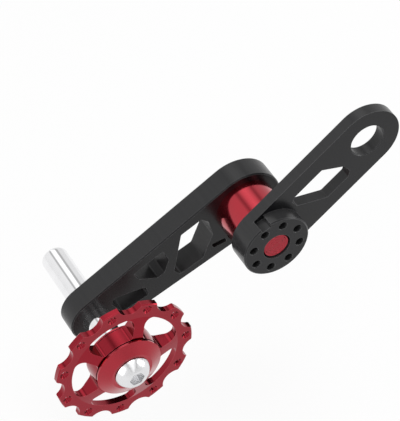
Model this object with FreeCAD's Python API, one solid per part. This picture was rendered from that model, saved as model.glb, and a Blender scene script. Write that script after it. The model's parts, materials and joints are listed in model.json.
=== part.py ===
import FreeCAD, Part
import math
import os

# Chain tensioner for a single-speed drivetrain: a fixed hanger arm, a sprung swing arm,
# and a toothed guide wheel on a sliding shaft.
# Millimetres. The origin is the centre of the hanger hole on the face that seats on the bicycle's
# dropout. +Z is up, +Y points outboard, and +X points to the rear of the bicycle.

V = FreeCAD.Vector

# Chain
CHAIN_PITCH = 12.7
ROLLER_DIAMETER = 7.75

# Hanger arm
HANGER_CENTRES = 38.1
HANGER_TILT = 37.5
HANGER_END_RADIUS = 10.2
HANGER_THICKNESS = 3.7
HANGER_BORE = 10.2
HANGER_BORE_CHAMFER = 0.2
BOSS_HEIGHT = 4.0
HANGER_WINDOW = [
    (11.8, 1.4), (11.8, 3.9), (13.2, 5.0), (23.9, 5.0),
    (28.5, -0.9), (28.5, -4.2), (26.9, -5.6), (18.7, -5.6),
]
HANGER_WINDOW_CORNER = 0.6
PRELOAD_HOLES = 8
PRELOAD_CIRCLE = 15.0
PRELOAD_CLEARANCE = 1.1
PRELOAD_MOUTH = 0.15
PRELOAD_PHASE = 76.6
RIM_NOTCH_ANGLES = (103.0, 121.0)
RIM_NOTCH_DEPTH = 1.2

# Swing arm
SWING_CENTRES = 52.5
SWING_ANGLE = 205.2
SWING_PIVOT_RADIUS = 11.5
SWING_SHAFT_RADIUS = 7.7
SWING_THICKNESS = 7.2
ARM_EDGE_CHAMFER = 0.35
WINDOW_BY_DRUM = [
    (12.1, -7.0), (19.2, -7.0), (27.0, 4.2), (26.2, 7.0),
    (18.3, 7.5), (12.1, 1.6), (10.9, -4.2),
]
WINDOW_MIDDLE = [(26.0, -6.1), (36.4, -6.1), (36.2, -2.8), (31.8, 2.0), (29.4, 2.0), (26.2, -1.4)]
WINDOW_BY_SHAFT = [(36.2, 1.9), (45.0, -2.7), (46.5, -1.0), (45.6, 4.5), (36.7, 5.7)]
SWING_WINDOW_CORNER = 0.8
FACE_POCKET = [(10.0, 6.2), (14.2, 5.0), (14.2, 6.9), (10.0, 8.1)]
FACE_POCKET_CORNER = 0.5
FACE_POCKET_DEPTH = 2.2

# Swing travel and stop
SWING_TRAVEL = 100.0
STOP_PIN = 1.5
STOP_PIN_TO_SPINDLE = 0.35
STOP_PIN_ANGLE = 20.0
STOP_GROOVE_DEPTH = 1.6
STOP_PIN_INTO_GROOVE = 1.2
STOP_PIN_INTO_SLEEVE = 4.0

# Pivot
SPINDLE_DIAMETER = 6.5
SPINDLE_HEAD_OVERHANG = 0.8
SPINDLE_HEAD_THICKNESS = 1.6
SPINDLE_HEAD_RECESS = 0.45
FACE_RINGS = (1.2, 2.3, 3.3)
FACE_RING_WIDTH = 0.3
FACE_RING_DEPTH = 0.12
SPINDLE_TAIL_DIAMETER = 5.4
SPINDLE_TAIL_LENGTH = 3.2
BUSH_WALL = 0.65
BUSH_FLANGE_THICKNESS = 0.8
THRUST_WASHER_THICKNESS = 0.4
SLEEVE_WALL_OVER_PINS = 0.15
PIVOT_SCREW_DIAMETER = 4.0
PIVOT_SCREW_LENGTH = 8.0
PIVOT_SCREW_HEAD_DIAMETER = 7.0
PIVOT_SCREW_HEAD_HEIGHT = 2.8
PIVOT_SCREW_SOCKET = 2.5
PIVOT_WASHER_DIAMETER = 8.0
PIVOT_WASHER_THICKNESS = 0.6

# Spring drum
DRUM_DIAMETER = 18.2
DRUM_WALL = 0.85
DRUM_FLOOR = 1.4
DRUM_EDGE_CHAMFER = 0.3
DRUM_GAP = 0.3
DRIVE_PINS = 2
DRIVE_PIN = 1.5
DRIVE_PIN_INTO_ARM = 1.8
DRIVE_PIN_INTO_SLEEVE = 1.5

# Torsion spring
WIRE_DIAMETER = 1.4
COIL_GAP = 0.2
COIL_TO_SLEEVE = 0.45
COIL_TURNS = 4.0
COIL_SPANS_PER_TURN = 4
COIL_START = 1.6
LEG_BEND_INSIDE = 0.3
LEG_HOLE_INDEX = 3
LEG_DEPTH = 3.0

# Guide shaft
SHAFT_DIAMETER = 8.0
SHAFT_BEHIND_ARM = 20.7
SHAFT_END_ROUND = 1.8
SHAFT_FLAT_DEPTH = 0.4
SLIDE_INBOARD = 14.0
SLIDE_OUTBOARD = 9.0
SET_SCREW_DIAMETER = 4.0
SET_SCREW_LENGTH = 3.2
SET_SCREW_SOCKET = 2.0

# Guide wheel
TEETH = 11
TIP_RADIUS = 21.0
TOOTH_HOLE = 1.7
TOOTH_HOLE_MOUTH = 0.5
TOOTH_HOLE_RADIUS = 19.0
TOOTH_PHASE = 67.6
RIM_THICKNESS = 2.0
RIM_INNER_RADIUS = 16.4
HUB_THICKNESS = 5.2
HUB_RADIUS = 10.4
WHEEL_PLANE = -2.7
SPOKES = 5
SPOKE_PHASE = 71.5
SPOKE_WIDTH = 3.2
WINDOW_INNER_RADIUS = 9.9
WINDOW_INNER_CORNER = 1.4
WINDOW_OUTER_CORNER = 2.4
TOOTH_CHAMFER = 0.25
TIP_HALF_ANGLE = 7.0

# Bearing
BEARING_BORE = 6.0
BEARING_OUTSIDE = 15.0
BEARING_WIDTH = 5.0
BALLS = 8
BALL_DIAMETER = 2.6
BALL_CIRCLE = 10.5
RACE_SHOULDER = 0.9
CAGE_WALL = 0.5
CAGE_WIDTH = 3.7
SHIELD_THICKNESS = 0.2

# Dust covers and wheel screw
COVER_DIAMETER = 19.6
COVER_RISE = 2.7
COVER_FLAT_DIAMETER = 12.4
COVER_EDGE = 0.5
COVER_SKIN = 0.8
COVER_GAP = 0.3
COVER_BOSS_DIAMETER = 8.4
WHEEL_SCREW_LENGTH = 14.0
WHEEL_SCREW_HEAD_DIAMETER = 10.5
WHEEL_SCREW_HEAD_HEIGHT = 3.3
WHEEL_SCREW_RIM = 0.6
WHEEL_SCREW_CROWN_DIAMETER = 5.8
WHEEL_SCREW_BULGE = 0.35
WHEEL_SCREW_SOCKET = 4.0
WHEEL_SCREW_SOCKET_DEPTH = 2.2
HEAD_SEAT_DEPTH = 0.3

# Clearances
RUNNING = 0.04
FREE = 0.05
OPEN = 0.2
SAME_PLANE = 0.0001

# Places worked out from the sizes above
TURN = 360.0
BOSS_FRONT = -BOSS_HEIGHT
COIL_PITCH = WIRE_DIAMETER + COIL_GAP
COIL_LENGTH = COIL_PITCH * COIL_TURNS
DRUM_LENGTH = COIL_START + COIL_LENGTH + WIRE_DIAMETER / 2 + OPEN + DRUM_FLOOR
DRUM_BACK = HANGER_THICKNESS + DRUM_LENGTH
SWING_BACK = DRUM_BACK + SWING_THICKNESS
PIVOT = (
    -HANGER_CENTRES * math.cos(math.radians(HANGER_TILT)),
    -HANGER_CENTRES * math.sin(math.radians(HANGER_TILT)),
)
SHAFT = (
    PIVOT[0] + SWING_CENTRES * math.cos(math.radians(SWING_ANGLE)),
    PIVOT[1] + SWING_CENTRES * math.sin(math.radians(SWING_ANGLE)),
)
SPINDLE_R = SPINDLE_DIAMETER / 2
BUSH_INNER = SPINDLE_R + RUNNING
BUSH_OUTER = BUSH_INNER + BUSH_WALL
SPINDLE_HEAD_R = SPINDLE_R + SPINDLE_HEAD_OVERHANG
STOP_R = SPINDLE_R + STOP_PIN_TO_SPINDLE + STOP_PIN / 2
SLEEVE_R = STOP_R + STOP_PIN / 2 + SLEEVE_WALL_OVER_PINS
COIL_R = SLEEVE_R + COIL_TO_SLEEVE + WIRE_DIAMETER / 2
PRELOAD_HOLE_R = (WIRE_DIAMETER + PRELOAD_CLEARANCE) / 2
LEG_R = PRELOAD_CIRCLE / 2 - OPEN
LEG_BEND = WIRE_DIAMETER / 2 + LEG_BEND_INSIDE
LEG_REACH = math.sqrt(LEG_R ** 2 - COIL_R ** 2)
LEG_LEAN = math.degrees(math.acos(COIL_R / LEG_R))
COIL_FRONT_ANGLE = PRELOAD_PHASE + TURN / PRELOAD_HOLES * LEG_HOLE_INDEX - LEG_LEAN
COIL_BACK_ANGLE = COIL_FRONT_ANGLE - TURN * COIL_TURNS
SLEEVE_FRONT = HANGER_THICKNESS + THRUST_WASHER_THICKNESS
DRUM_FLOOR_FRONT = DRUM_BACK - DRUM_FLOOR
SHAFT_R = SHAFT_DIAMETER / 2
SCREW_COUNTERBORE_FLOOR = SWING_BACK - PIVOT_SCREW_HEAD_HEIGHT - PIVOT_WASHER_THICKNESS - OPEN
BEARING_FRONT = WHEEL_PLANE - BEARING_WIDTH / 2
BEARING_BACK = WHEEL_PLANE + BEARING_WIDTH / 2
SHAFT_FRONT = BEARING_BACK + COVER_RISE
SHAFT_BACK = SWING_BACK + SHAFT_BEHIND_ARM
ROOT_RADIUS = CHAIN_PITCH / 2 / math.sin(math.pi / TEETH) - ROLLER_DIAMETER / 2


# Drawing helpers

def spot(centre, radius, degrees, y):
    """A point at a radius and angle round a centre, angles measured from +X towards +Z."""
    turn = math.radians(degrees)
    return V(centre[0] + radius * math.cos(turn), y, centre[1] + radius * math.sin(turn))


def tangent(degrees):
    """The direction in which the angle grows on a circle round Y."""
    turn = math.radians(degrees)
    return V(-math.sin(turn), 0, math.cos(turn))


def rod(centre, radius, y_from, y_to):
    """A round bar along Y."""
    return Part.makeCylinder(radius, y_to - y_from, V(centre[0], y_from, centre[1]), V(0, 1, 0))


def ring(centre, inner, outer, y_from, y_to):
    """A tube along Y."""
    return rod(centre, outer, y_from, y_to).cut(rod(centre, inner, y_from - 1, y_to + 1))


def turned(centre, outline):
    """A solid turned on the lathe: an outline of (radius, y) points spun about Y."""
    points = [V(centre[0] + radius, y, centre[1]) for radius, y in outline]
    face = Part.Face(Part.makePolygon(points + points[:1]))
    return face.revolve(V(centre[0], 0, centre[1]), V(0, 1, 0), TURN)


def chamfered_hole(centre, radius, chamfer, y_from, y_to):
    """The tool for a round hole along Y whose two mouths are chamfered at 45 degrees."""
    return turned(centre, [
        (0, y_from - 1),
        (radius + chamfer + 1, y_from - 1),
        (radius, y_from + chamfer),
        (radius, y_to - chamfer),
        (radius + chamfer + 1, y_to + 1),
        (0, y_to + 1),
    ])


def prism(wire, y_from, y_to):
    """A flat plate whose outline lies at y_from."""
    return Part.Face(wire).extrude(V(0, y_to - y_from, 0))


def rounded_polygon(points, radius, y):
    """A closed outline with every corner rounded by the same radius."""
    corners = [V(x, y, z) for x, z in points]
    edges = []
    trimmed = []
    for index, corner in enumerate(corners):
        back = (corners[index - 1] - corner).normalize()
        ahead = (corners[(index + 1) % len(corners)] - corner).normalize()
        half = back.getAngle(ahead) / 2
        reach = radius / math.tan(half)
        middle = (back + ahead).normalize()
        start = corner + back * reach
        end = corner + ahead * reach
        peak = corner + middle * (radius / math.sin(half) - radius)
        trimmed.append((start, peak, end))
    for index, (start, peak, end) in enumerate(trimmed):
        edges.append(Part.Arc(start, peak, end).toShape())
        edges.append(Part.LineSegment(end, trimmed[(index + 1) % len(trimmed)][0]).toShape())
    return Part.Wire(edges)


def belt_outline(centre_a, radius_a, centre_b, radius_b, y):
    """Two round ends of any size joined by their outer tangents."""
    span = V(centre_b[0] - centre_a[0], 0, centre_b[1] - centre_a[1])
    heading = math.degrees(math.atan2(span.z, span.x))
    lean = math.degrees(math.acos((radius_a - radius_b) / span.Length))
    a_low = spot(centre_a, radius_a, heading - lean, y)
    a_high = spot(centre_a, radius_a, heading + lean, y)
    b_low = spot(centre_b, radius_b, heading - lean, y)
    b_high = spot(centre_b, radius_b, heading + lean, y)
    end_a = Part.Arc(a_high, spot(centre_a, radius_a, heading + TURN / 2, y), a_low)
    end_b = Part.Arc(b_low, spot(centre_b, radius_b, heading, y), b_high)
    return Part.Wire([
        end_a.toShape(),
        Part.LineSegment(a_low, b_low).toShape(),
        end_b.toShape(),
        Part.LineSegment(b_high, a_high).toShape(),
    ])


def along_arm(centre, heading, points):
    """Turns (along, across) points of an arm into the frame; across is to the left of along."""
    cos_h = math.cos(math.radians(heading))
    sin_h = math.sin(math.radians(heading))
    return [
        (centre[0] + along * cos_h - across * sin_h, centre[1] + along * sin_h + across * cos_h)
        for along, across in points
    ]


def flat_edges(shape, y):
    """The edges of a shape that lie wholly in one plane across Y."""
    spans = [(edge, edge.BoundBox) for edge in shape.Edges]
    return [edge for edge, box in spans if max(abs(box.YMin - y), abs(box.YMax - y)) < SAME_PLANE]


def hexagon_hole(centre, across_flats, y_from, y_to):
    """A hexagon socket along Y."""
    corner = across_flats / 2 / math.cos(math.pi / 6)
    points = [spot(centre, corner, TURN / 6 * step, y_from) for step in range(6)]
    return prism(Part.makePolygon(points + points[:1]), y_from, y_to)


# Hanger arm

def hanger_window():
    """The long window between the hanger hole and the boss."""
    outline = along_arm(PIVOT, HANGER_TILT, HANGER_WINDOW)
    return prism(rounded_polygon(outline, HANGER_WINDOW_CORNER, 0), 0, HANGER_THICKNESS)


def stop_groove():
    """The arc that the stop pin travels in, cut into the back of the boss."""
    radius = STOP_PIN / 2 + OPEN / 2
    start = STOP_PIN_ANGLE - SWING_TRAVEL
    y = HANGER_THICKNESS - STOP_GROOVE_DEPTH
    inner = [spot(PIVOT, STOP_R - radius, start + SWING_TRAVEL * step / 2, y) for step in range(3)]
    outer = [spot(PIVOT, STOP_R + radius, start + SWING_TRAVEL * step / 2, y) for step in range(3)]
    low_end = spot(PIVOT, STOP_R, start - math.degrees(radius / STOP_R), y)
    high_end = spot(PIVOT, STOP_R, STOP_PIN_ANGLE + math.degrees(radius / STOP_R), y)
    wire = Part.Wire([
        Part.Arc(*inner).toShape(),
        Part.Arc(inner[2], high_end, outer[2]).toShape(),
        Part.Arc(outer[2], outer[1], outer[0]).toShape(),
        Part.Arc(outer[0], low_end, inner[0]).toShape(),
    ])
    return prism(wire, y, HANGER_THICKNESS + 1)


def rim_notch():
    """The short notch in the rim of the boss."""
    low, high = RIM_NOTCH_ANGLES
    inside = HANGER_END_RADIUS - RIM_NOTCH_DEPTH
    outside = HANGER_END_RADIUS + 1
    y = BOSS_FRONT - 1
    middle = (low + high) / 2
    inner = [spot(PIVOT, inside, angle, y) for angle in (low, middle, high)]
    outer = [spot(PIVOT, outside, angle, y) for angle in (high, middle, low)]
    wire = Part.Wire([
        Part.Arc(*inner).toShape(),
        Part.LineSegment(inner[2], outer[0]).toShape(),
        Part.Arc(*outer).toShape(),
        Part.LineSegment(outer[2], inner[0]).toShape(),
    ])
    return prism(wire, y, 0)


def make_hanger_arm():
    plate = prism(belt_outline(PIVOT, HANGER_END_RADIUS, (0, 0), HANGER_END_RADIUS, 0), 0, HANGER_THICKNESS)
    plate = plate.cut(hanger_window())
    plate = plate.makeChamfer(ARM_EDGE_CHAMFER, flat_edges(plate, HANGER_THICKNESS))
    boss = rod(PIVOT, HANGER_END_RADIUS, BOSS_FRONT, HANGER_THICKNESS - ARM_EDGE_CHAMFER)
    boss = boss.makeChamfer(ARM_EDGE_CHAMFER, flat_edges(boss, BOSS_FRONT))
    arm = plate.fuse(boss)
    arm = arm.cut(chamfered_hole((0, 0), HANGER_BORE / 2, HANGER_BORE_CHAMFER, 0, HANGER_THICKNESS))
    head_floor = BOSS_FRONT + SPINDLE_HEAD_RECESS + SPINDLE_HEAD_THICKNESS + BUSH_FLANGE_THICKNESS
    arm = arm.cut(rod(PIVOT, SPINDLE_HEAD_R + OPEN, BOSS_FRONT - 1, head_floor))
    arm = arm.cut(rod(PIVOT, BUSH_OUTER, BOSS_FRONT, HANGER_THICKNESS + 1))
    for step in range(PRELOAD_HOLES):
        place = spot(PIVOT, PRELOAD_CIRCLE / 2, PRELOAD_PHASE + TURN / PRELOAD_HOLES * step, 0)
        centre = (place.x, place.z)
        arm = arm.cut(chamfered_hole(centre, PRELOAD_HOLE_R, PRELOAD_MOUTH, BOSS_FRONT, HANGER_THICKNESS))
    arm = arm.cut(stop_groove())
    return arm.cut(rim_notch())


# Swing arm

def drive_pin_spots():
    """Where the drive pins stand, clear of the stop pin."""
    first = STOP_PIN_ANGLE + TURN / 4
    return [spot(PIVOT, STOP_R, first + TURN / DRIVE_PINS * step, 0) for step in range(DRIVE_PINS)]


def set_screw_frame():
    """A point on the shaft's axis at mid arm and the direction of the set screw, square to the arm."""
    turn = math.radians(SWING_ANGLE + TURN / 4)
    return V(SHAFT[0], (DRUM_BACK + SWING_BACK) / 2, SHAFT[1]), V(math.cos(turn), 0, math.sin(turn))


def make_swing_arm():
    outline = belt_outline(PIVOT, SWING_PIVOT_RADIUS, SHAFT, SWING_SHAFT_RADIUS, DRUM_BACK)
    arm = prism(outline, DRUM_BACK, SWING_BACK)
    outer_edges = flat_edges(arm, DRUM_BACK) + flat_edges(arm, SWING_BACK)
    arm = arm.makeChamfer(ARM_EDGE_CHAMFER, outer_edges)
    for points in (WINDOW_BY_DRUM, WINDOW_MIDDLE, WINDOW_BY_SHAFT):
        outline = rounded_polygon(along_arm(PIVOT, SWING_ANGLE, points), SWING_WINDOW_CORNER, DRUM_BACK)
        arm = arm.cut(prism(outline, DRUM_BACK, SWING_BACK))
    pocket = rounded_polygon(along_arm(PIVOT, SWING_ANGLE, FACE_POCKET), FACE_POCKET_CORNER, DRUM_BACK)
    arm = arm.cut(prism(pocket, DRUM_BACK, DRUM_BACK + FACE_POCKET_DEPTH))
    arm = arm.cut(rod(PIVOT, SPINDLE_TAIL_DIAMETER / 2 + FREE, DRUM_BACK - 1, SWING_BACK + 1))
    arm = arm.cut(rod(PIVOT, PIVOT_WASHER_DIAMETER / 2 + OPEN, SCREW_COUNTERBORE_FLOOR, SWING_BACK + 1))
    arm = arm.cut(rod(SHAFT, SHAFT_R + RUNNING, DRUM_BACK - 1, SWING_BACK + 1))
    for centre in drive_pin_spots():
        arm = arm.cut(rod((centre.x, centre.z), DRIVE_PIN / 2, DRUM_BACK, DRUM_BACK + DRIVE_PIN_INTO_ARM))
    base, heading = set_screw_frame()
    return arm.cut(Part.makeCylinder(SET_SCREW_DIAMETER / 2, SWING_PIVOT_RADIUS, base, heading))


# Pivot pieces

def make_pivot_bush():
    """A flanged plain bush pressed into the boss."""
    flange_front = BOSS_FRONT + SPINDLE_HEAD_RECESS + SPINDLE_HEAD_THICKNESS
    flange_back = flange_front + BUSH_FLANGE_THICKNESS
    end = HANGER_THICKNESS - STOP_GROOVE_DEPTH - OPEN
    return turned(PIVOT, [
        (BUSH_INNER, flange_front + FREE),
        (SPINDLE_HEAD_R, flange_front + FREE),
        (SPINDLE_HEAD_R, flange_back),
        (BUSH_OUTER, flange_back),
        (BUSH_OUTER, end),
        (BUSH_INNER, end),
    ])


def make_pivot_spindle():
    """The stepped pin that shows as a disc with turned rings in the middle of the boss."""
    front = BOSS_FRONT + SPINDLE_HEAD_RECESS
    tail = SPINDLE_TAIL_DIAMETER / 2
    face = [(0, front)]
    for radius in FACE_RINGS:
        face += [
            (radius - FACE_RING_WIDTH / 2, front),
            (radius, front + FACE_RING_DEPTH),
            (radius + FACE_RING_WIDTH / 2, front),
        ]
    spindle = turned(PIVOT, face + [
        (SPINDLE_HEAD_R - DRUM_EDGE_CHAMFER, front),
        (SPINDLE_HEAD_R, front + DRUM_EDGE_CHAMFER),
        (SPINDLE_HEAD_R, front + SPINDLE_HEAD_THICKNESS),
        (SPINDLE_R, front + SPINDLE_HEAD_THICKNESS),
        (SPINDLE_R, DRUM_BACK),
        (tail, DRUM_BACK),
        (tail, DRUM_BACK + SPINDLE_TAIL_LENGTH),
        (0, DRUM_BACK + SPINDLE_TAIL_LENGTH),
    ])
    thread_end = SCREW_COUNTERBORE_FLOOR + PIVOT_WASHER_THICKNESS - PIVOT_SCREW_LENGTH - OPEN
    return spindle.cut(rod(PIVOT, PIVOT_SCREW_DIAMETER / 2, thread_end, SWING_BACK))


def stop_pin_rod(y_from, y_to):
    """A bar of the stop pin's size at its place."""
    place = spot(PIVOT, STOP_R, STOP_PIN_ANGLE, 0)
    return rod((place.x, place.z), STOP_PIN / 2, y_from, y_to)


def make_thrust_washer():
    washer = ring(PIVOT, SPINDLE_R + FREE, SLEEVE_R, HANGER_THICKNESS, SLEEVE_FRONT)
    return washer.cut(stop_pin_rod(HANGER_THICKNESS - 1, SLEEVE_FRONT + 1))


def make_core_sleeve():
    """The steel sleeve inside the spring, which carries the stop pin."""
    sleeve = ring(PIVOT, SPINDLE_R + FREE, SLEEVE_R, SLEEVE_FRONT, DRUM_FLOOR_FRONT)
    sleeve = sleeve.cut(stop_pin_rod(SLEEVE_FRONT - 1, SLEEVE_FRONT + STOP_PIN_INTO_SLEEVE))
    for centre in drive_pin_spots():
        start = DRUM_FLOOR_FRONT - DRIVE_PIN_INTO_SLEEVE
        sleeve = sleeve.cut(rod((centre.x, centre.z), DRIVE_PIN / 2, start, DRUM_BACK))
    return sleeve


def make_stop_pin():
    return stop_pin_rod(HANGER_THICKNESS - STOP_PIN_INTO_GROOVE, SLEEVE_FRONT + STOP_PIN_INTO_SLEEVE)


def make_drive_pins():
    """Two pins that lock the drum and the sleeve to the swing arm."""
    start = DRUM_FLOOR_FRONT - DRIVE_PIN_INTO_SLEEVE
    end = DRUM_BACK + DRIVE_PIN_INTO_ARM
    return Part.makeCompound([rod((c.x, c.z), DRIVE_PIN / 2, start, end) for c in drive_pin_spots()])


def make_pivot_washer():
    return ring(
        PIVOT, PIVOT_SCREW_DIAMETER / 2 + OPEN, PIVOT_WASHER_DIAMETER / 2,
        SCREW_COUNTERBORE_FLOOR, SCREW_COUNTERBORE_FLOOR + PIVOT_WASHER_THICKNESS,
    )


def make_pivot_screw():
    under_head = SCREW_COUNTERBORE_FLOOR + PIVOT_WASHER_THICKNESS
    top = under_head + PIVOT_SCREW_HEAD_HEIGHT
    head = PIVOT_SCREW_HEAD_DIAMETER / 2
    shank = PIVOT_SCREW_DIAMETER / 2
    screw = turned(PIVOT, [
        (0, under_head - PIVOT_SCREW_LENGTH),
        (shank, under_head - PIVOT_SCREW_LENGTH),
        (shank, under_head),
        (head, under_head),
        (head, top - DRUM_EDGE_CHAMFER),
        (head - DRUM_EDGE_CHAMFER, top),
        (0, top),
    ])
    return screw.cut(hexagon_hole(PIVOT, PIVOT_SCREW_SOCKET, top - PIVOT_SCREW_HEAD_HEIGHT / 2, top + 1))


# Spring drum and torsion spring

def make_spring_drum():
    """A turned cup that covers the spring, with its floor against the swing arm."""
    outer = DRUM_DIAMETER / 2
    inner = outer - DRUM_WALL
    front = HANGER_THICKNESS + DRUM_GAP
    bore = SPINDLE_R + FREE
    drum = turned(PIVOT, [
        (inner, front),
        (outer - DRUM_EDGE_CHAMFER, front),
        (outer, front + DRUM_EDGE_CHAMFER),
        (outer, DRUM_BACK),
        (bore, DRUM_BACK),
        (bore, DRUM_FLOOR_FRONT),
        (inner, DRUM_FLOOR_FRONT),
    ])
    for centre in drive_pin_spots():
        drum = drum.cut(rod((centre.x, centre.z), DRIVE_PIN / 2, DRUM_FLOOR_FRONT - 1, DRUM_BACK + 1))
    leg = spot(PIVOT, LEG_R, COIL_BACK_ANGLE - LEG_LEAN, 0)
    return drum.cut(rod((leg.x, leg.z), WIRE_DIAMETER / 2 + FREE, DRUM_FLOOR_FRONT - 1, DRUM_BACK + 1))


def spring_leg(start, way, foot_way, tip_y):
    """A straight run off the coil, a quarter bend, and a straight foot that ends at tip_y."""
    wire = WIRE_DIAMETER / 2
    run = LEG_REACH - LEG_BEND
    knee = start + way * run
    section = Part.Face(Part.Wire(Part.makeCircle(wire, knee, way)))
    bend = section.revolve(knee + foot_way * LEG_BEND, way.cross(foot_way), TURN / 4)
    foot = start + way * LEG_REACH + foot_way * LEG_BEND
    return [
        Part.makeCylinder(wire, run, start, way),
        bend,
        Part.makeCylinder(wire, abs(tip_y - foot.y), foot, foot_way),
    ]


def coil_path():
    """The coil's centre line along +Z, in short spans so that each face of the wire stays small."""
    spans = math.ceil(COIL_TURNS * COIL_SPANS_PER_TURN)
    rise = COIL_LENGTH / spans
    edges = []
    for step in range(spans):
        span = Part.makeHelix(COIL_PITCH, rise, COIL_R)
        span.rotate(V(0, 0, 0), V(0, 0, 1), TURN * COIL_TURNS / spans * step)
        span.translate(V(0, 0, rise * step))
        edges += span.Edges
    return Part.Wire(edges)


def make_torsion_spring():
    """A close-wound coil with one leg in a preload hole and the other in the drum's floor."""
    front_y = HANGER_THICKNESS + COIL_START
    section = Part.Wire(Part.makeCircle(WIRE_DIAMETER / 2, V(COIL_R, 0, 0), V(0, 1, 0)))
    coil = coil_path().makePipeShell([section], True, True)
    coil.rotate(V(0, 0, 0), V(1, 0, 0), -TURN / 4)
    coil.rotate(V(0, 0, 0), V(0, 1, 0), -COIL_FRONT_ANGLE)
    coil.translate(V(PIVOT[0], front_y, PIVOT[1]))
    front_end = spot(PIVOT, COIL_R, COIL_FRONT_ANGLE, front_y)
    back_end = spot(PIVOT, COIL_R, COIL_BACK_ANGLE, front_y + COIL_LENGTH)
    legs = spring_leg(front_end, tangent(COIL_FRONT_ANGLE), V(0, -1, 0), HANGER_THICKNESS - LEG_DEPTH)
    legs += spring_leg(back_end, tangent(COIL_BACK_ANGLE) * -1, V(0, 1, 0), DRUM_BACK - OPEN)
    return coil.multiFuse(legs)


# Guide shaft

def make_guide_shaft():
    """The rod that slides through the swing arm, with a flat for the set screw."""
    shaft = rod(SHAFT, SHAFT_R, SHAFT_FRONT, SHAFT_BACK)
    shaft = shaft.makeFillet(SHAFT_END_ROUND, flat_edges(shaft, SHAFT_BACK))
    shaft = shaft.makeChamfer(DRUM_EDGE_CHAMFER, flat_edges(shaft, SHAFT_FRONT))
    shaft = shaft.cut(rod(SHAFT, BEARING_BORE / 2 - FREE, SHAFT_FRONT - 1, wheel_screw_tip() + OPEN))
    base, heading = set_screw_frame()
    margin = SET_SCREW_DIAMETER / 2 + OPEN
    length = SLIDE_INBOARD + SLIDE_OUTBOARD + 2 * margin
    block = Part.makeBox(SHAFT_R, length, SHAFT_DIAMETER, V(SHAFT_R - SHAFT_FLAT_DEPTH, 0, -SHAFT_R))
    block.rotate(V(0, 0, 0), V(0, 1, 0), -math.degrees(math.atan2(heading.z, heading.x)))
    block.translate(V(SHAFT[0], base.y - margin - SLIDE_OUTBOARD, SHAFT[1]))
    return shaft.cut(block)


def make_set_screw():
    """The grub screw that bears on the shaft's flat."""
    base, heading = set_screw_frame()
    start = base + heading * (SHAFT_R - SHAFT_FLAT_DEPTH)
    screw = Part.makeCylinder(SET_SCREW_DIAMETER / 2, SET_SCREW_LENGTH, start, heading)
    socket = hexagon_hole((0, 0), SET_SCREW_SOCKET, 0, SET_SCREW_LENGTH)
    turn = FreeCAD.Rotation(V(0, 1, 0), heading)
    socket.Placement = FreeCAD.Placement(start + heading * (SET_SCREW_LENGTH / 2), turn)
    return screw.cut(socket)


# Guide wheel

def tooth_gap(step):
    """The round seat that a chain roller drops into."""
    angle = TOOTH_PHASE + TURN / TEETH * (step + 0.5)
    half_gap = math.radians(TURN / TEETH / 2 - TIP_HALF_ANGLE)
    rise = TIP_RADIUS * math.cos(half_gap) - ROOT_RADIUS
    side = TIP_RADIUS * math.sin(half_gap)
    radius = (rise ** 2 + side ** 2) / (2 * rise)
    centre = spot(SHAFT, ROOT_RADIUS + radius, angle, 0)
    half = RIM_THICKNESS / 2
    return rod((centre.x, centre.z), radius, WHEEL_PLANE - half - 1, WHEEL_PLANE + half + 1)


def window_corners(radius, y):
    """Where the sides of two neighbouring spokes meet a circle, low then high."""
    angle = math.radians(TURN / SPOKES / 2) - math.asin(SPOKE_WIDTH / 2 / radius)
    reach = radius * math.cos(angle)
    side = radius * math.sin(angle)
    return V(reach, y, -side), V(reach, y, side)


def wheel_window():
    """One opening between two spokes, lying along +X from the wheel's centre."""
    y = WHEEL_PLANE - HUB_THICKNESS
    inner_low, inner_high = window_corners(WINDOW_INNER_RADIUS, y)
    outer_low, outer_high = window_corners(RIM_INNER_RADIUS, y)
    edges = [
        Part.Arc(inner_high, V(WINDOW_INNER_RADIUS, y, 0), inner_low),
        Part.LineSegment(inner_low, outer_low),
        Part.Arc(outer_low, V(RIM_INNER_RADIUS, y, 0), outer_high),
        Part.LineSegment(outer_high, inner_high),
    ]
    block = prism(Part.Wire([edge.toShape() for edge in edges]), y, y + 2 * HUB_THICKNESS)
    middle = (inner_low.x + outer_low.x) / 2
    for radius, inner in ((WINDOW_INNER_CORNER, True), (WINDOW_OUTER_CORNER, False)):
        uprights = [edge for edge in block.Edges if edge.BoundBox.XLength < SAME_PLANE]
        corners = [edge for edge in uprights if (edge.BoundBox.XMax < middle) == inner]
        block = block.makeFillet(radius, [edge for edge in corners if edge.BoundBox.YLength > HUB_THICKNESS])
    return block


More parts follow.
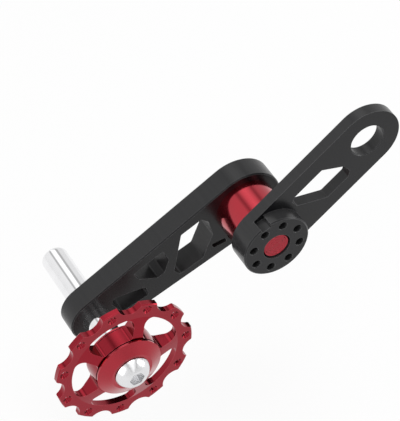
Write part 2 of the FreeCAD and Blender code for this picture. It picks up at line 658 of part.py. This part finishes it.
def make_guide_wheel():
    """Thick hub, coned web, thin toothed rim, five windows and a hole in every tooth."""
    rim = RIM_THICKNESS / 2
    hub = HUB_THICKNESS / 2
    wheel = turned(SHAFT, [
        (BEARING_OUTSIDE / 2, WHEEL_PLANE - hub),
        (HUB_RADIUS, WHEEL_PLANE - hub),
        (RIM_INNER_RADIUS, WHEEL_PLANE - rim),
        (TIP_RADIUS - TOOTH_CHAMFER, WHEEL_PLANE - rim),
        (TIP_RADIUS, WHEEL_PLANE - rim + TOOTH_CHAMFER),
        (TIP_RADIUS, WHEEL_PLANE + rim - TOOTH_CHAMFER),
        (TIP_RADIUS - TOOTH_CHAMFER, WHEEL_PLANE + rim),
        (RIM_INNER_RADIUS, WHEEL_PLANE + rim),
        (HUB_RADIUS, WHEEL_PLANE + hub),
        (BEARING_OUTSIDE / 2, WHEEL_PLANE + hub),
    ])
    tools = []
    for step in range(TEETH):
        tools.append(tooth_gap(step))
        place = spot(SHAFT, TOOTH_HOLE_RADIUS, TOOTH_PHASE + TURN / TEETH * step, 0)
        centre = (place.x, place.z)
        front, back = WHEEL_PLANE - rim, WHEEL_PLANE + rim
        tools.append(chamfered_hole(centre, TOOTH_HOLE / 2, TOOTH_HOLE_MOUTH, front, back))
    window = wheel_window()
    for step in range(SPOKES):
        cut = window.copy()
        cut.rotate(V(0, 0, 0), V(0, 1, 0), -(SPOKE_PHASE + TURN / SPOKES * (step + 0.5)))
        cut.translate(V(SHAFT[0], 0, SHAFT[1]))
        tools.append(cut)
    return wheel.cut(tools)


# Cartridge bearing

def race_groove(clearance):
    """The ring-shaped track that the balls run in."""
    return Part.makeTorus(
        BALL_CIRCLE / 2, BALL_DIAMETER / 2 + clearance, V(SHAFT[0], WHEEL_PLANE, SHAFT[1]), V(0, 1, 0)
    )


def make_inner_ring():
    outer = BALL_CIRCLE / 2 - RACE_SHOULDER
    return ring(SHAFT, BEARING_BORE / 2, outer, BEARING_FRONT, BEARING_BACK).cut(race_groove(FREE))


def make_outer_ring():
    inner = BALL_CIRCLE / 2 + RACE_SHOULDER
    shell = ring(SHAFT, inner, BEARING_OUTSIDE / 2, BEARING_FRONT, BEARING_BACK).cut(race_groove(FREE))
    seat = inner + RACE_SHOULDER / 2
    depth = SHIELD_THICKNESS * 3 / 2
    shell = shell.cut(rod(SHAFT, seat, BEARING_FRONT - 1, BEARING_FRONT + depth))
    return shell.cut(rod(SHAFT, seat, BEARING_BACK - depth, BEARING_BACK + 1))


def shield_spans():
    """The two slices of Y that the shields fill."""
    return (
        (BEARING_FRONT + SHIELD_THICKNESS / 2, BEARING_FRONT + SHIELD_THICKNESS * 3 / 2),
        (BEARING_BACK - SHIELD_THICKNESS * 3 / 2, BEARING_BACK - SHIELD_THICKNESS / 2),
    )


def make_shield(span):
    inner = BALL_CIRCLE / 2 - RACE_SHOULDER + 2 * FREE
    outer = BALL_CIRCLE / 2 + RACE_SHOULDER * 3 / 2
    return ring(SHAFT, inner, outer, *span)


def ball_spots():
    return [spot(SHAFT, BALL_CIRCLE / 2, TURN / BALLS * step, WHEEL_PLANE) for step in range(BALLS)]


def make_balls():
    return Part.makeCompound([Part.makeSphere(BALL_DIAMETER / 2, place) for place in ball_spots()])


def make_cage():
    middle = BALL_CIRCLE / 2
    half = CAGE_WIDTH / 2
    cage = ring(SHAFT, middle - CAGE_WALL / 2, middle + CAGE_WALL / 2, WHEEL_PLANE - half, WHEEL_PLANE + half)
    axis = V(SHAFT[0], WHEEL_PLANE, SHAFT[1])
    pocket = BALL_DIAMETER / 2 + FREE
    return cage.cut([Part.makeCylinder(pocket, middle + 1, axis, place - axis) for place in ball_spots()])


# Dust covers and wheel screw

def make_cover(face, outward):
    """A coned cover clamped on the inner ring; face is the ring's end and outward its direction."""
    def place(radius, height):
        return radius, face + outward * height

    edge = COVER_GAP + (HUB_THICKNESS - BEARING_WIDTH) / 2
    bore = BEARING_BORE / 2 + FREE
    boss = COVER_BOSS_DIAMETER / 2
    rim = COVER_DIAMETER / 2
    flat = COVER_FLAT_DIAMETER / 2
    outline = [
        place(bore, 0),
        place(boss, 0),
        place(boss, COVER_RISE - COVER_SKIN),
        place(flat - COVER_SKIN / 2, COVER_RISE - COVER_SKIN),
        place(rim - COVER_SKIN, edge),
        place(rim, edge),
        place(rim, edge + COVER_EDGE),
        place(flat, COVER_RISE),
    ]
    return outline


def make_front_cover():
    seat = WHEEL_SCREW_HEAD_DIAMETER / 2 + OPEN
    top = BEARING_FRONT - COVER_RISE
    return turned(SHAFT, make_cover(BEARING_FRONT, -1) + [
        (seat, top),
        (seat, top + HEAD_SEAT_DEPTH),
        (BEARING_BORE / 2 + FREE, top + HEAD_SEAT_DEPTH),
    ])


def make_rear_cover():
    return turned(SHAFT, make_cover(BEARING_BACK, 1) + [(BEARING_BORE / 2 + FREE, BEARING_BACK + COVER_RISE)])


def wheel_screw_seat():
    return BEARING_FRONT - COVER_RISE + HEAD_SEAT_DEPTH


def wheel_screw_tip():
    return wheel_screw_seat() + WHEEL_SCREW_LENGTH


def make_wheel_screw():
    """A button-head screw that clamps the covers and the inner ring to the shaft."""
    seat = wheel_screw_seat()
    shank = BEARING_BORE / 2 - FREE
    head = WHEEL_SCREW_HEAD_DIAMETER / 2
    crown = WHEEL_SCREW_CROWN_DIAMETER / 2
    edge = V(SHAFT[0] + head, seat - WHEEL_SCREW_RIM, SHAFT[1])
    top = V(SHAFT[0] + crown, seat - WHEEL_SCREW_HEAD_HEIGHT, SHAFT[1])
    chord = (top - edge).normalize()
    bulge = (edge + top) * 0.5 + V(-chord.y, chord.x, 0) * WHEEL_SCREW_BULGE
    corners = [
        top,
        V(SHAFT[0], seat - WHEEL_SCREW_HEAD_HEIGHT, SHAFT[1]),
        V(SHAFT[0], seat + WHEEL_SCREW_LENGTH, SHAFT[1]),
        V(SHAFT[0] + shank, seat + WHEEL_SCREW_LENGTH, SHAFT[1]),
        V(SHAFT[0] + shank, seat, SHAFT[1]),
        V(SHAFT[0] + head, seat, SHAFT[1]),
        edge,
    ]
    sides = [Part.LineSegment(a, b).toShape() for a, b in zip(corners, corners[1:])]
    face = Part.Face(Part.Wire(sides + [Part.Arc(edge, bulge, top).toShape()]))
    screw = face.revolve(V(SHAFT[0], 0, SHAFT[1]), V(0, 1, 0), TURN)
    face_y = seat - WHEEL_SCREW_HEAD_HEIGHT
    return screw.cut(hexagon_hole(SHAFT, WHEEL_SCREW_SOCKET, face_y - 1, face_y + WHEEL_SCREW_SOCKET_DEPTH))


# Every piece and its maker

PIECES = {
    "hanger_arm": make_hanger_arm,
    "pivot_bush": make_pivot_bush,
    "swing_arm": make_swing_arm,
    "spring_drum": make_spring_drum,
    "torsion_spring": make_torsion_spring,
    "core_sleeve": make_core_sleeve,
    "thrust_washer": make_thrust_washer,
    "stop_pin": make_stop_pin,
    "drive_pins": make_drive_pins,
    "pivot_spindle": make_pivot_spindle,
    "pivot_washer": make_pivot_washer,
    "pivot_screw": make_pivot_screw,
    "guide_shaft": make_guide_shaft,
    "shaft_set_screw": make_set_screw,
    "guide_wheel": make_guide_wheel,
    "bearing_outer_ring": make_outer_ring,
    "bearing_inner_ring": make_inner_ring,
    "bearing_balls": make_balls,
    "ball_cage": make_cage,
    "front_bearing_shield": lambda: make_shield(shield_spans()[0]),
    "rear_bearing_shield": lambda: make_shield(shield_spans()[1]),
    "front_dust_cover": make_front_cover,
    "rear_dust_cover": make_rear_cover,
    "wheel_screw": make_wheel_screw,
}

os.makedirs("parts", exist_ok=True)
for name, make in PIECES.items():
    shape = make()
    shape.exportStep(f"parts/{name}.step")
    print(f"{name}: {len(shape.Solids)} solids, {shape.Volume:.2f} mm3, valid {shape.isValid()}")
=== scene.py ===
# %% [markdown]
# This lesson dresses a bicycle chain tensioner. The metal parts are already built at their real size, so
# nothing here moves or reshapes them. We give each one the finish a maker would give it: black and red
# anodising on aluminium, polished bar for the shaft, turned steel inside. Loading comes first, because
# every place we need, such as the two axes that parts are turned about, is read from the loaded model.

# %% Load the parts
import json
import math

import bpy
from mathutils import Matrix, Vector


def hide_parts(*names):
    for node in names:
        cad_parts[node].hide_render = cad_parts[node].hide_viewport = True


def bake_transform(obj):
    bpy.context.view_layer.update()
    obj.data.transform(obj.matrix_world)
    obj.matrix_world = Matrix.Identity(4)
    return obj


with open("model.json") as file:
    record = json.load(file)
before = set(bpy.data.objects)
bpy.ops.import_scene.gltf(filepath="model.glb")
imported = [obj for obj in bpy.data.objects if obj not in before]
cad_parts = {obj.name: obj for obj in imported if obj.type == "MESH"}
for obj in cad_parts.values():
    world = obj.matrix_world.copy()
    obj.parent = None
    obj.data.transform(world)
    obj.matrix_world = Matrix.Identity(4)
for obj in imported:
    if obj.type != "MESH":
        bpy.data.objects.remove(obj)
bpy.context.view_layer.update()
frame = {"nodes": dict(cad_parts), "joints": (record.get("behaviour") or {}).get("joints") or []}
joints = {joint["name"]: joint for joint in frame["joints"]}
PIVOT = Vector(joints["arm_swing"]["pos_m"])
WHEEL_CENTRE = Vector(joints["wheel_spin"]["pos_m"])
MM = 0.001
print("parts:", len(frame["nodes"]), "pivot:", PIVOT, "wheel:", WHEEL_CENTRE)

# %% [markdown]
# The camera stands to the left of the part and looks down on it from a long way off, as a catalogue
# photographer would, so parallel edges stay nearly parallel. It could be placed by eye, but a direction,
# a distance and a point to look at are easier to adjust one at a time.

# %% Camera
AZIMUTH = math.radians(-28.65)
ELEVATION = math.radians(45.89)
CAMERA_DISTANCE = 606.6 * MM
LOOK_AT = Vector((-50.21, 3.70, -5.99)) * MM
FOCAL_LENGTH = 192.55
SENSOR_WIDTH = 36.0

back = Vector((
    math.sin(AZIMUTH) * math.cos(ELEVATION),
    -math.cos(AZIMUTH) * math.cos(ELEVATION),
    math.sin(ELEVATION),
))
camera_data = bpy.data.cameras.new("catalogue_camera")
camera_data.lens = FOCAL_LENGTH
camera_data.sensor_width = SENSOR_WIDTH
camera = bpy.data.objects.new("catalogue_camera", camera_data)
bpy.context.scene.collection.objects.link(camera)
camera.location = LOOK_AT + back * CAMERA_DISTANCE
camera.rotation_mode = "QUATERNION"
camera.rotation_quaternion = (-back).to_track_quat("-Z", "Y")
bpy.context.scene.camera = camera
print("camera at", camera.location)

# %% [markdown]
# A finish is a small network of nodes. Wiring them by hand hides the arithmetic, so we wrap an output in
# a class that understands plus, minus and times. Writing 1 - mask then adds the node by itself. Colours
# don't go through these operators: they are blended with a Mix node instead, which keeps them coloured.

# %% Arithmetic on sockets
class Wire:
    """An output of a node that can be used in sums."""

    def __init__(self, network, socket):
        self.network = network
        self.socket = socket

    def _sum(self, operation, first, second):
        return self.network.node("ShaderNodeMath", {"operation": operation}, {0: first, 1: second})

    def __add__(self, other):
        return self._sum("ADD", self, other)

    __radd__ = __add__

    def __sub__(self, other):
        return self._sum("SUBTRACT", self, other)

    def __rsub__(self, other):
        return self._sum("SUBTRACT", other, self)

    def __mul__(self, other):
        return self._sum("MULTIPLY", self, other)

    __rmul__ = __mul__


class Network:
    """A tree of nodes, with one method that adds any node."""

    def __init__(self, tree):
        self.nodes = tree.nodes
        self.links = tree.links

    def add(self, kind, settings, sockets):
        """Adds a node, sets it up and fills its sockets."""
        made = self.nodes.new(kind)
        for label, value in settings.items():
            if label == "stops":
                ramp = made.color_ramp.elements
                while len(ramp) < len(value):
                    ramp.new(0.5)
                for element, (place, colour) in zip(ramp, value):
                    element.position = place
                    element.color = colour
            else:
                setattr(made, label, value)
        for label, value in sockets.items():
            self.plug(made.inputs[label], value)
        return made

    def node(self, kind, settings, sockets, out=0):
        """Adds a node and returns one of its outputs."""
        return Wire(self, self.add(kind, settings, sockets).outputs[out])

    def plug(self, socket, value):
        """Links a wire to a socket, or writes a plain value into it."""
        if isinstance(value, Wire):
            self.links.new(value.socket, socket)
        else:
            socket.default_value = value

    def between(self, amount, low, high):
        """A number that runs from low to high as amount runs from 0 to 1."""
        return amount * (high - low) + low

    def blend(self, amount, first, second):
        """One colour turning into another."""
        return self.node("ShaderNodeMix", {"data_type": "RGBA"}, {0: amount, 6: first, 7: second}, 2)

    def clamp(self, value):
        """A number kept between 0 and 1."""
        return self.node("ShaderNodeClamp", {}, {"Value": value})

    def looked_at(self):
        """1 where the camera, a reflection or glass looks, and 0 for the light that falls on the part."""
        path = self.add("ShaderNodeLightPath", {}, {}).outputs
        rays = [Wire(self, path[name]) for name in ("Is Camera Ray", "Is Glossy Ray", "Is Transmission Ray")]
        return self.clamp(rays[0] + rays[1] + rays[2])


print("network tools ready")

# %% [markdown]
# Every finish asks the same things of a point on a part: where it is, how far it lies from the lathe's
# axis, whether it is on a wall or a face, and how near a sharp edge it is. The answers could be painted on
# by hand, but worked out from the shape they stay right on every part, so one class collects them.

# %% What a finish can ask
EDGE_GAIN = 6.0
MARK_DEPTH = 0.02 * MM


class Finish(Network):
    """A material in the making."""

    def __init__(self, name, even=()):
        self.material = bpy.data.materials.new(name)
        self.material.use_nodes = True
        super().__init__(self.material.node_tree)
        self.nodes.clear()
        self.shader = self.add("ShaderNodeBsdfPrincipled", {}, dict(even))
        self.surface = Wire(self, self.shader.outputs["BSDF"])
        self.output = self.add("ShaderNodeOutputMaterial", {}, {"Surface": self.surface})

    def drive(self, label, value):
        """Feeds a value into one of the shader's sockets."""
        self.plug(self.shader.inputs[label], value)

    def place(self):
        """The point on the part, in millimetres, which moves with the part."""
        spot = self.node("ShaderNodeTexCoord", {}, {}, "Object")
        return self.node("ShaderNodeVectorMath", {"operation": "SCALE"}, {0: spot, "Scale": 1 / MM})

    def noise(self, at, scale):
        """Smooth random cloudiness from 0 to 1; a scale of 1 is about one lump a millimetre."""
        return self.node("ShaderNodeTexNoise", {}, {"Vector": at, "Scale": scale, "Detail": 2.0})

    def walls(self):
        """A mask that is 1 on walls that run front to back, and 0 on front and back faces."""
        facing = self.node("ShaderNodeTexCoord", {}, {}, "Normal")
        forward = self.node("ShaderNodeSeparateXYZ", {}, {0: facing}, "Y")
        return self.clamp(1 - self.node("ShaderNodeMath", {"operation": "ABSOLUTE"}, {0: forward}))

    def cutter_marks(self):
        """Streaks that run straight from front to back, as a milling cutter leaves them."""
        flat = self.node("ShaderNodeVectorMath", {"operation": "MULTIPLY"}, {0: self.place(), 1: (1, 0, 1)})
        return self.noise(flat, 0.9)

    def turned(self, centre):
        """A point unrolled about an axis: how far out it lies and how far along, for lathe marks."""
        spot = self.place()
        middle = tuple(value / MM for value in (centre.x, 0.0, centre.z))
        out = self.node("ShaderNodeVectorMath", {"operation": "SUBTRACT"}, {0: spot, 1: middle})
        flat = self.node("ShaderNodeVectorMath", {"operation": "MULTIPLY"}, {0: out, 1: (1, 0, 1)})
        radius = self.node("ShaderNodeVectorMath", {"operation": "LENGTH"}, {0: flat}, "Value")
        along = self.node("ShaderNodeSeparateXYZ", {}, {0: spot}, "Y")
        return self.node("ShaderNodeCombineXYZ", {}, {"X": radius, "Y": along})

    def edges(self, width):
        """A mask that is 1 on sharp edges: there a softened normal leans away from the true one."""
        soft = self.node("ShaderNodeBevel", {"samples": 4}, {"Radius": width})
        true = self.node("ShaderNodeNewGeometry", {}, {}, "Normal")
        agree = self.node("ShaderNodeVectorMath", {"operation": "DOT_PRODUCT"}, {0: soft, 1: true}, "Value")
        return self.clamp((1 - agree) * EDGE_GAIN)

    def bump(self, height, strength):
        """Presses fine marks into the surface."""
        self.drive("Normal", self.node(
            "ShaderNodeBump", {}, {"Height": height, "Strength": strength, "Distance": MARK_DEPTH}
        ))


print("finish tools ready, marks up to", MARK_DEPTH, "m deep")

# %% [markdown]
# Black anodising is a dyed, slightly porous layer on aluminium. It is not a mirror: it is nearly black
# with a soft sheen, and the machined corners under it catch the light as thin lighter lines. A flat dark
# colour would lose those lines, so an edge mask paints them in as a highlight: a lighter grey and a little
# metal on the corners. The faces are bead blasted, with a very fine grain. The walls of the arms and windows
# were milled and carry faint streaks straight from front to back, where the cutter ran. The walls are also
# painted a lighter black than the front and back faces, as painted light.

# %% Black anodised aluminium
BLAST_GRAIN = 9.0
BLACK_FACE = ((0.004, 0.004, 0.005, 1), (0.007, 0.007, 0.008, 1))
# Lighter black for the milled walls: painted light, with the two tones of the cutter streaks in it.
BLACK_WALL_PAINTED_LIGHT = ((0.024, 0.024, 0.025, 1), (0.034, 0.034, 0.035, 1))
# Lighter grey for the sharp corners: a painted highlight.
BLACK_EDGE_HIGHLIGHT = (0.17, 0.17, 0.175, 1)


def black_anodised(name, gloss):
    finish = Finish(name, {"IOR": gloss})
    spot = finish.place()
    cloud = finish.noise(spot, 0.12)
    grain = finish.noise(spot, BLAST_GRAIN)
    # The edge mask paints a highlight on the corners: a lighter grey and a little metal.
    edge = finish.edges(0.15 * MM)
    faces = finish.blend(cloud, *BLACK_FACE)
    # The walls get a lighter black than the faces as painted light; the streaks in it are the cutter marks.
    walls = finish.blend(finish.cutter_marks(), *BLACK_WALL_PAINTED_LIGHT)
    dye_and_painted_light = finish.blend(finish.walls(), faces, walls)
    finish.drive("Base Color", finish.blend(edge, dye_and_painted_light, BLACK_EDGE_HIGHLIGHT))
    finish.drive("Metallic", edge * 0.5)
    finish.drive("Roughness", finish.between(grain, 0.22, 0.30))
    finish.bump(grain, 0.10)
    return finish.material


HANGER_GLOSS = 1.34
SWING_GLOSS = 1.31
black_hanger = black_anodised("black_anodised_hanger", HANGER_GLOSS)
black_swing = black_anodised("black_anodised_swing", SWING_GLOSS)
print("made", black_hanger.name, "and", black_swing.name)

# %% [markdown]
# Red anodising is the same layer with a clear dye, so the metal shows through and the reflections turn
# red. The parts were turned on a lathe, which leaves faint rings round the axis. The rings are noise
# looked up by distance from that axis, so they stay circles on every face. How much clear layer lies over
# it differs from part to part, and so does the red, which is partly the part's own dye and partly painted
# light: lighter on the drum and the dust covers, and deeper, as painted shade, on the spindle and the wheel.
# The corners get a lighter red as a painted highlight.

# %% Red anodised aluminium
THIN_DYE = 1.2
# Lighter red for the sharp corners: a painted highlight.
RED_EDGE_HIGHLIGHT = (0.55, 0.06, 0.09, 1)


def red_anodised(name, centre, dye_and_painted_light, clear):
    finish = Finish(name, {"IOR": 1.5, "Coat Roughness": 0.12})
    rings = finish.noise(finish.turned(centre), 3.2)
    cloud = finish.noise(finish.place(), 0.15)
    # The edge mask paints a lighter red highlight on the corners.
    edge = finish.edges(0.16 * MM)
    thin = tuple(value * THIN_DYE for value in dye_and_painted_light[:3]) + (1,)
    finish.drive("Base Color", finish.blend(edge, finish.blend(cloud, dye_and_painted_light, thin), RED_EDGE_HIGHLIGHT))
    finish.drive("Metallic", finish.between(cloud, 0.94, 1.0))
    finish.drive("Roughness", finish.between(rings, 0.13, 0.20))
    finish.drive("Coat Weight", finish.between(rings, clear - 0.05, clear + 0.05))
    finish.bump(rings, 0.06)
    return finish.material


# Each red is partly the part's own dye and partly painted light: lighter on the drum and covers, deeper as
# painted shade on the spindle and wheel.
red_drum = red_anodised("red_anodised_bright_and_painted_light_drum", PIVOT, (0.40, 0.010, 0.024, 1), 0.75)
red_spindle = red_anodised("red_anodised_deep_and_painted_shade_pivot", PIVOT, (0.26, 0.006, 0.015, 1), 0.30)
red_cover = red_anodised("red_anodised_bright_and_painted_light_cover", WHEEL_CENTRE, (0.33, 0.008, 0.020, 1), 0.65)
red_wheel = red_anodised("red_anodised_deep_and_painted_shade_wheel", WHEEL_CENTRE, (0.25, 0.005, 0.015, 1), 0.28)
print("made", [red.name for red in (red_drum, red_spindle, red_cover, red_wheel)])

# %% [markdown]
# The shaft and the screws are bright steel. Polished bar keeps only a trace of the grinding, and turned
# steel keeps more, so all come from one function with a different depth of mark. The plain bearings in
# the pivot are bronze, which is turned in the same way.

# %% Bright and turned steel
WORN_SHADE = 0.9


def steel(name, centre, colour, smooth, rough, depth):
    finish = Finish(name)
    rings = finish.noise(finish.turned(centre), 4.0)
    cloud = finish.noise(finish.place(), 0.3)
    darker = tuple(value * WORN_SHADE for value in colour[:3]) + (1,)
    finish.drive("Base Color", finish.blend(cloud, darker, colour))
    finish.drive("Metallic", finish.between(cloud, 0.98, 1.0))
    finish.drive("Roughness", finish.between(rings, smooth, rough))
    finish.bump(rings, depth)
    return finish.material


bright_shaft = steel("polished_shaft", WHEEL_CENTRE, (0.92, 0.92, 0.93, 1), 0.05, 0.09, 0.02)
satin_screw = steel("satin_screw", WHEEL_CENTRE, (0.80, 0.80, 0.81, 1), 0.20, 0.28, 0.05)
turned_pivot = steel("turned_steel_pivot", PIVOT, (0.55, 0.55, 0.56, 1), 0.22, 0.34, 0.2)
turned_wheel = steel("turned_steel_wheel", WHEEL_CENTRE, (0.62, 0.62, 0.63, 1), 0.15, 0.25, 0.15)
dark_steel = steel("blackened_steel", PIVOT, (0.05, 0.05, 0.052, 1), 0.30, 0.42, 0.2)
bronze = steel("bearing_bronze", PIVOT, (0.58, 0.40, 0.20, 1), 0.25, 0.38, 0.2)
print("made", [metal.name for metal in (bright_shaft, satin_screw, turned_pivot, turned_wheel)])

# %% [markdown]
# Each part now gets the finish of its trade. The hidden ones count too: a bearing seen through a gap
# should still look like turned steel. A table of part and finish is easier to check than a list of
# assignments, and the last line says if a part was forgotten.

# %% Give each part its finish
FINISHES = {
    "hanger_arm": black_hanger,
    "swing_arm": black_swing,
    "spring_drum": red_drum,
    "pivot_spindle": red_spindle,
    "pivot_bush": bronze,
    "thrust_washer": bronze,
    "core_sleeve": turned_pivot,
    "torsion_spring": turned_pivot,
    "stop_pin": turned_pivot,
    "drive_pins": turned_pivot,
    "pivot_washer": turned_pivot,
    "pivot_screw": dark_steel,
    "shaft_set_screw": dark_steel,
    "guide_shaft": bright_shaft,
    "wheel_screw": satin_screw,
    "guide_wheel": red_wheel,
    "front_dust_cover": red_cover,
    "rear_dust_cover": red_cover,
    "bearing_inner_ring": turned_wheel,
    "bearing_outer_ring": turned_wheel,
    "bearing_balls": turned_wheel,
    "ball_cage": turned_wheel,
    "front_bearing_shield": turned_wheel,
    "rear_bearing_shield": turned_wheel,
}
for name, part in frame["nodes"].items():
    for slot in part.material_slots:
        slot.material = FINISHES[name]
print("finished", len(FINISHES), "parts, missing:", sorted(set(frame["nodes"]) - set(FINISHES)))

# %% [markdown]
# The spring's front leg sits in the hanger arm and its back leg in the drum's floor, so a real one winds up
# as the arm swings. The built spring would turn as one stiff piece. A copy of it takes its place, and the
# built one is hidden.

spring = bpy.data.objects.new("winding_spring", frame["nodes"]["torsion_spring"].data.copy())
bpy.context.scene.collection.objects.link(spring)
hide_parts("torsion_spring")
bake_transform(spring)

# %% [markdown]
# The part is shown on plain white. Brighter lamps would bleach the metal, so instead the floor glows
# white by itself where the camera, a reflection or glass looks at it, and the lamps stay gentle. The glow
# is not complete: a share of the lit floor stays in, and with it the soft shadow of the part.

# %% White floor
FLOOR_DROP = 90 * MM
FLOOR_SIZE = 6.0
GLOW_SHARE = 0.85

floor_finish = Finish("white_floor", {"Roughness": 0.9, "Base Color": (0.95, 0.95, 0.95, 1)})
glow = floor_finish.node("ShaderNodeEmission", {}, {"Color": (1, 1, 1, 1)})
mixed = floor_finish.node("ShaderNodeMixShader", {}, {
    0: floor_finish.looked_at() * GLOW_SHARE, 1: floor_finish.surface, 2: glow,
})
floor_finish.plug(floor_finish.output.inputs["Surface"], mixed)

half = FLOOR_SIZE / 2
corners = [(-half, -half, 0), (half, -half, 0), (half, half, 0), (-half, half, 0)]
floor_mesh = bpy.data.meshes.new("floor")
floor_mesh.from_pydata(corners, [], [(0, 1, 2, 3)])
floor = bpy.data.objects.new("floor", floor_mesh)
floor.location.z = -FLOOR_DROP
bpy.context.scene.collection.objects.link(floor)
floor_mesh.materials.append(floor_finish.material)
print("floor", FLOOR_DROP, "m below the hanger hole")

# %% [markdown]
# Bright metal shows the room more than itself, and in an even white room it would vanish. A studio has
# soft white panels with narrow gaps between them, so the surroundings here do too. Each direction has an
# angle round the shaft's axis, and a ramp over that angle says how bright the room is there. A bar along
# that axis then gets thin grey lines down its length, and the drum its bands.

# %% Studio surroundings
LIGHT_LEVEL = 0.5
BRIGHTEST = 1.5
PANELS = [
    (0, 0.85), (43, 0.85), (57, 0.38), (69, 1.10), (84, 1.50), (99, 1.20),
    (112, 0.38), (124, 0.95), (180, 0.90), (360, 0.90),
]

world = bpy.data.worlds.new("white_studio")
world.use_nodes = True
bpy.context.scene.world = world
studio = Network(world.node_tree)
toward = studio.node("ShaderNodeTexCoord", {}, {}, "Generated")
across = studio.node("ShaderNodeSeparateXYZ", {}, {0: toward}, "X")
up = studio.node("ShaderNodeSeparateXYZ", {}, {0: toward}, "Z")
angle = studio.node("ShaderNodeMath", {"operation": "ARCTAN2"}, {0: up, 1: across})
turn = studio.node("ShaderNodeMath", {"operation": "FRACT"}, {0: angle * (1 / (2 * math.pi)) + 1})
ramp = studio.node("ShaderNodeValToRGB", {"stops": [
    (degrees / 360, (level / BRIGHTEST,) * 3 + (1,)) for degrees, level in PANELS
]}, {0: turn})
room = studio.node("ShaderNodeSeparateColor", {}, {0: ramp}) * BRIGHTEST
seen = studio.node("ShaderNodeMix", {"data_type": "FLOAT"}, {0: studio.looked_at(), 2: LIGHT_LEVEL, 3: room})
surround = world.node_tree.nodes["Background"]
studio.plug(surround.inputs["Color"], (1, 1, 1, 1))
studio.plug(surround.inputs["Strength"], seen)
print("gaps between the panels:", sum(level < LIGHT_LEVEL for degrees, level in PANELS))

# %% [markdown]
# The surroundings do most of the work. Three soft lamps add direction: one overhead and one on each
# side, wide enough that no highlight has a hard rim.

# %% Lamps
LAMP_DISTANCE = 0.9
LAMPS = (
    ("overhead", (0.12, 0.10, 1.0), (0.5, 0.5), 3.0),
    ("left_side", (-1.0, -0.3, 0.35), (0.5, 0.6), 2.5),
    ("right_side", (1.0, -0.4, 0.45), (0.4, 0.6), 2.5),
)
for name, direction, size, power in LAMPS:
    lamp_data = bpy.data.lights.new(name, "AREA")
    lamp_data.shape = "RECTANGLE"
    lamp_data.size, lamp_data.size_y = size
    lamp_data.energy = power
    lamp = bpy.data.objects.new(name, lamp_data)
    bpy.context.scene.collection.objects.link(lamp)
    way = Vector(direction).normalized()
    lamp.location = LOOK_AT + way * LAMP_DISTANCE
    lamp.rotation_mode = "QUATERNION"
    lamp.rotation_quaternion = (-way).to_track_quat("-Z", "Y")
print("lamps:", len(LAMPS))

# %% [markdown]
# Last come the things that belong to the picture as a whole. Standard keeps the colours as they were
# written.

# %% Keep the colours as written
bpy.context.scene.view_settings.view_transform = "Standard"
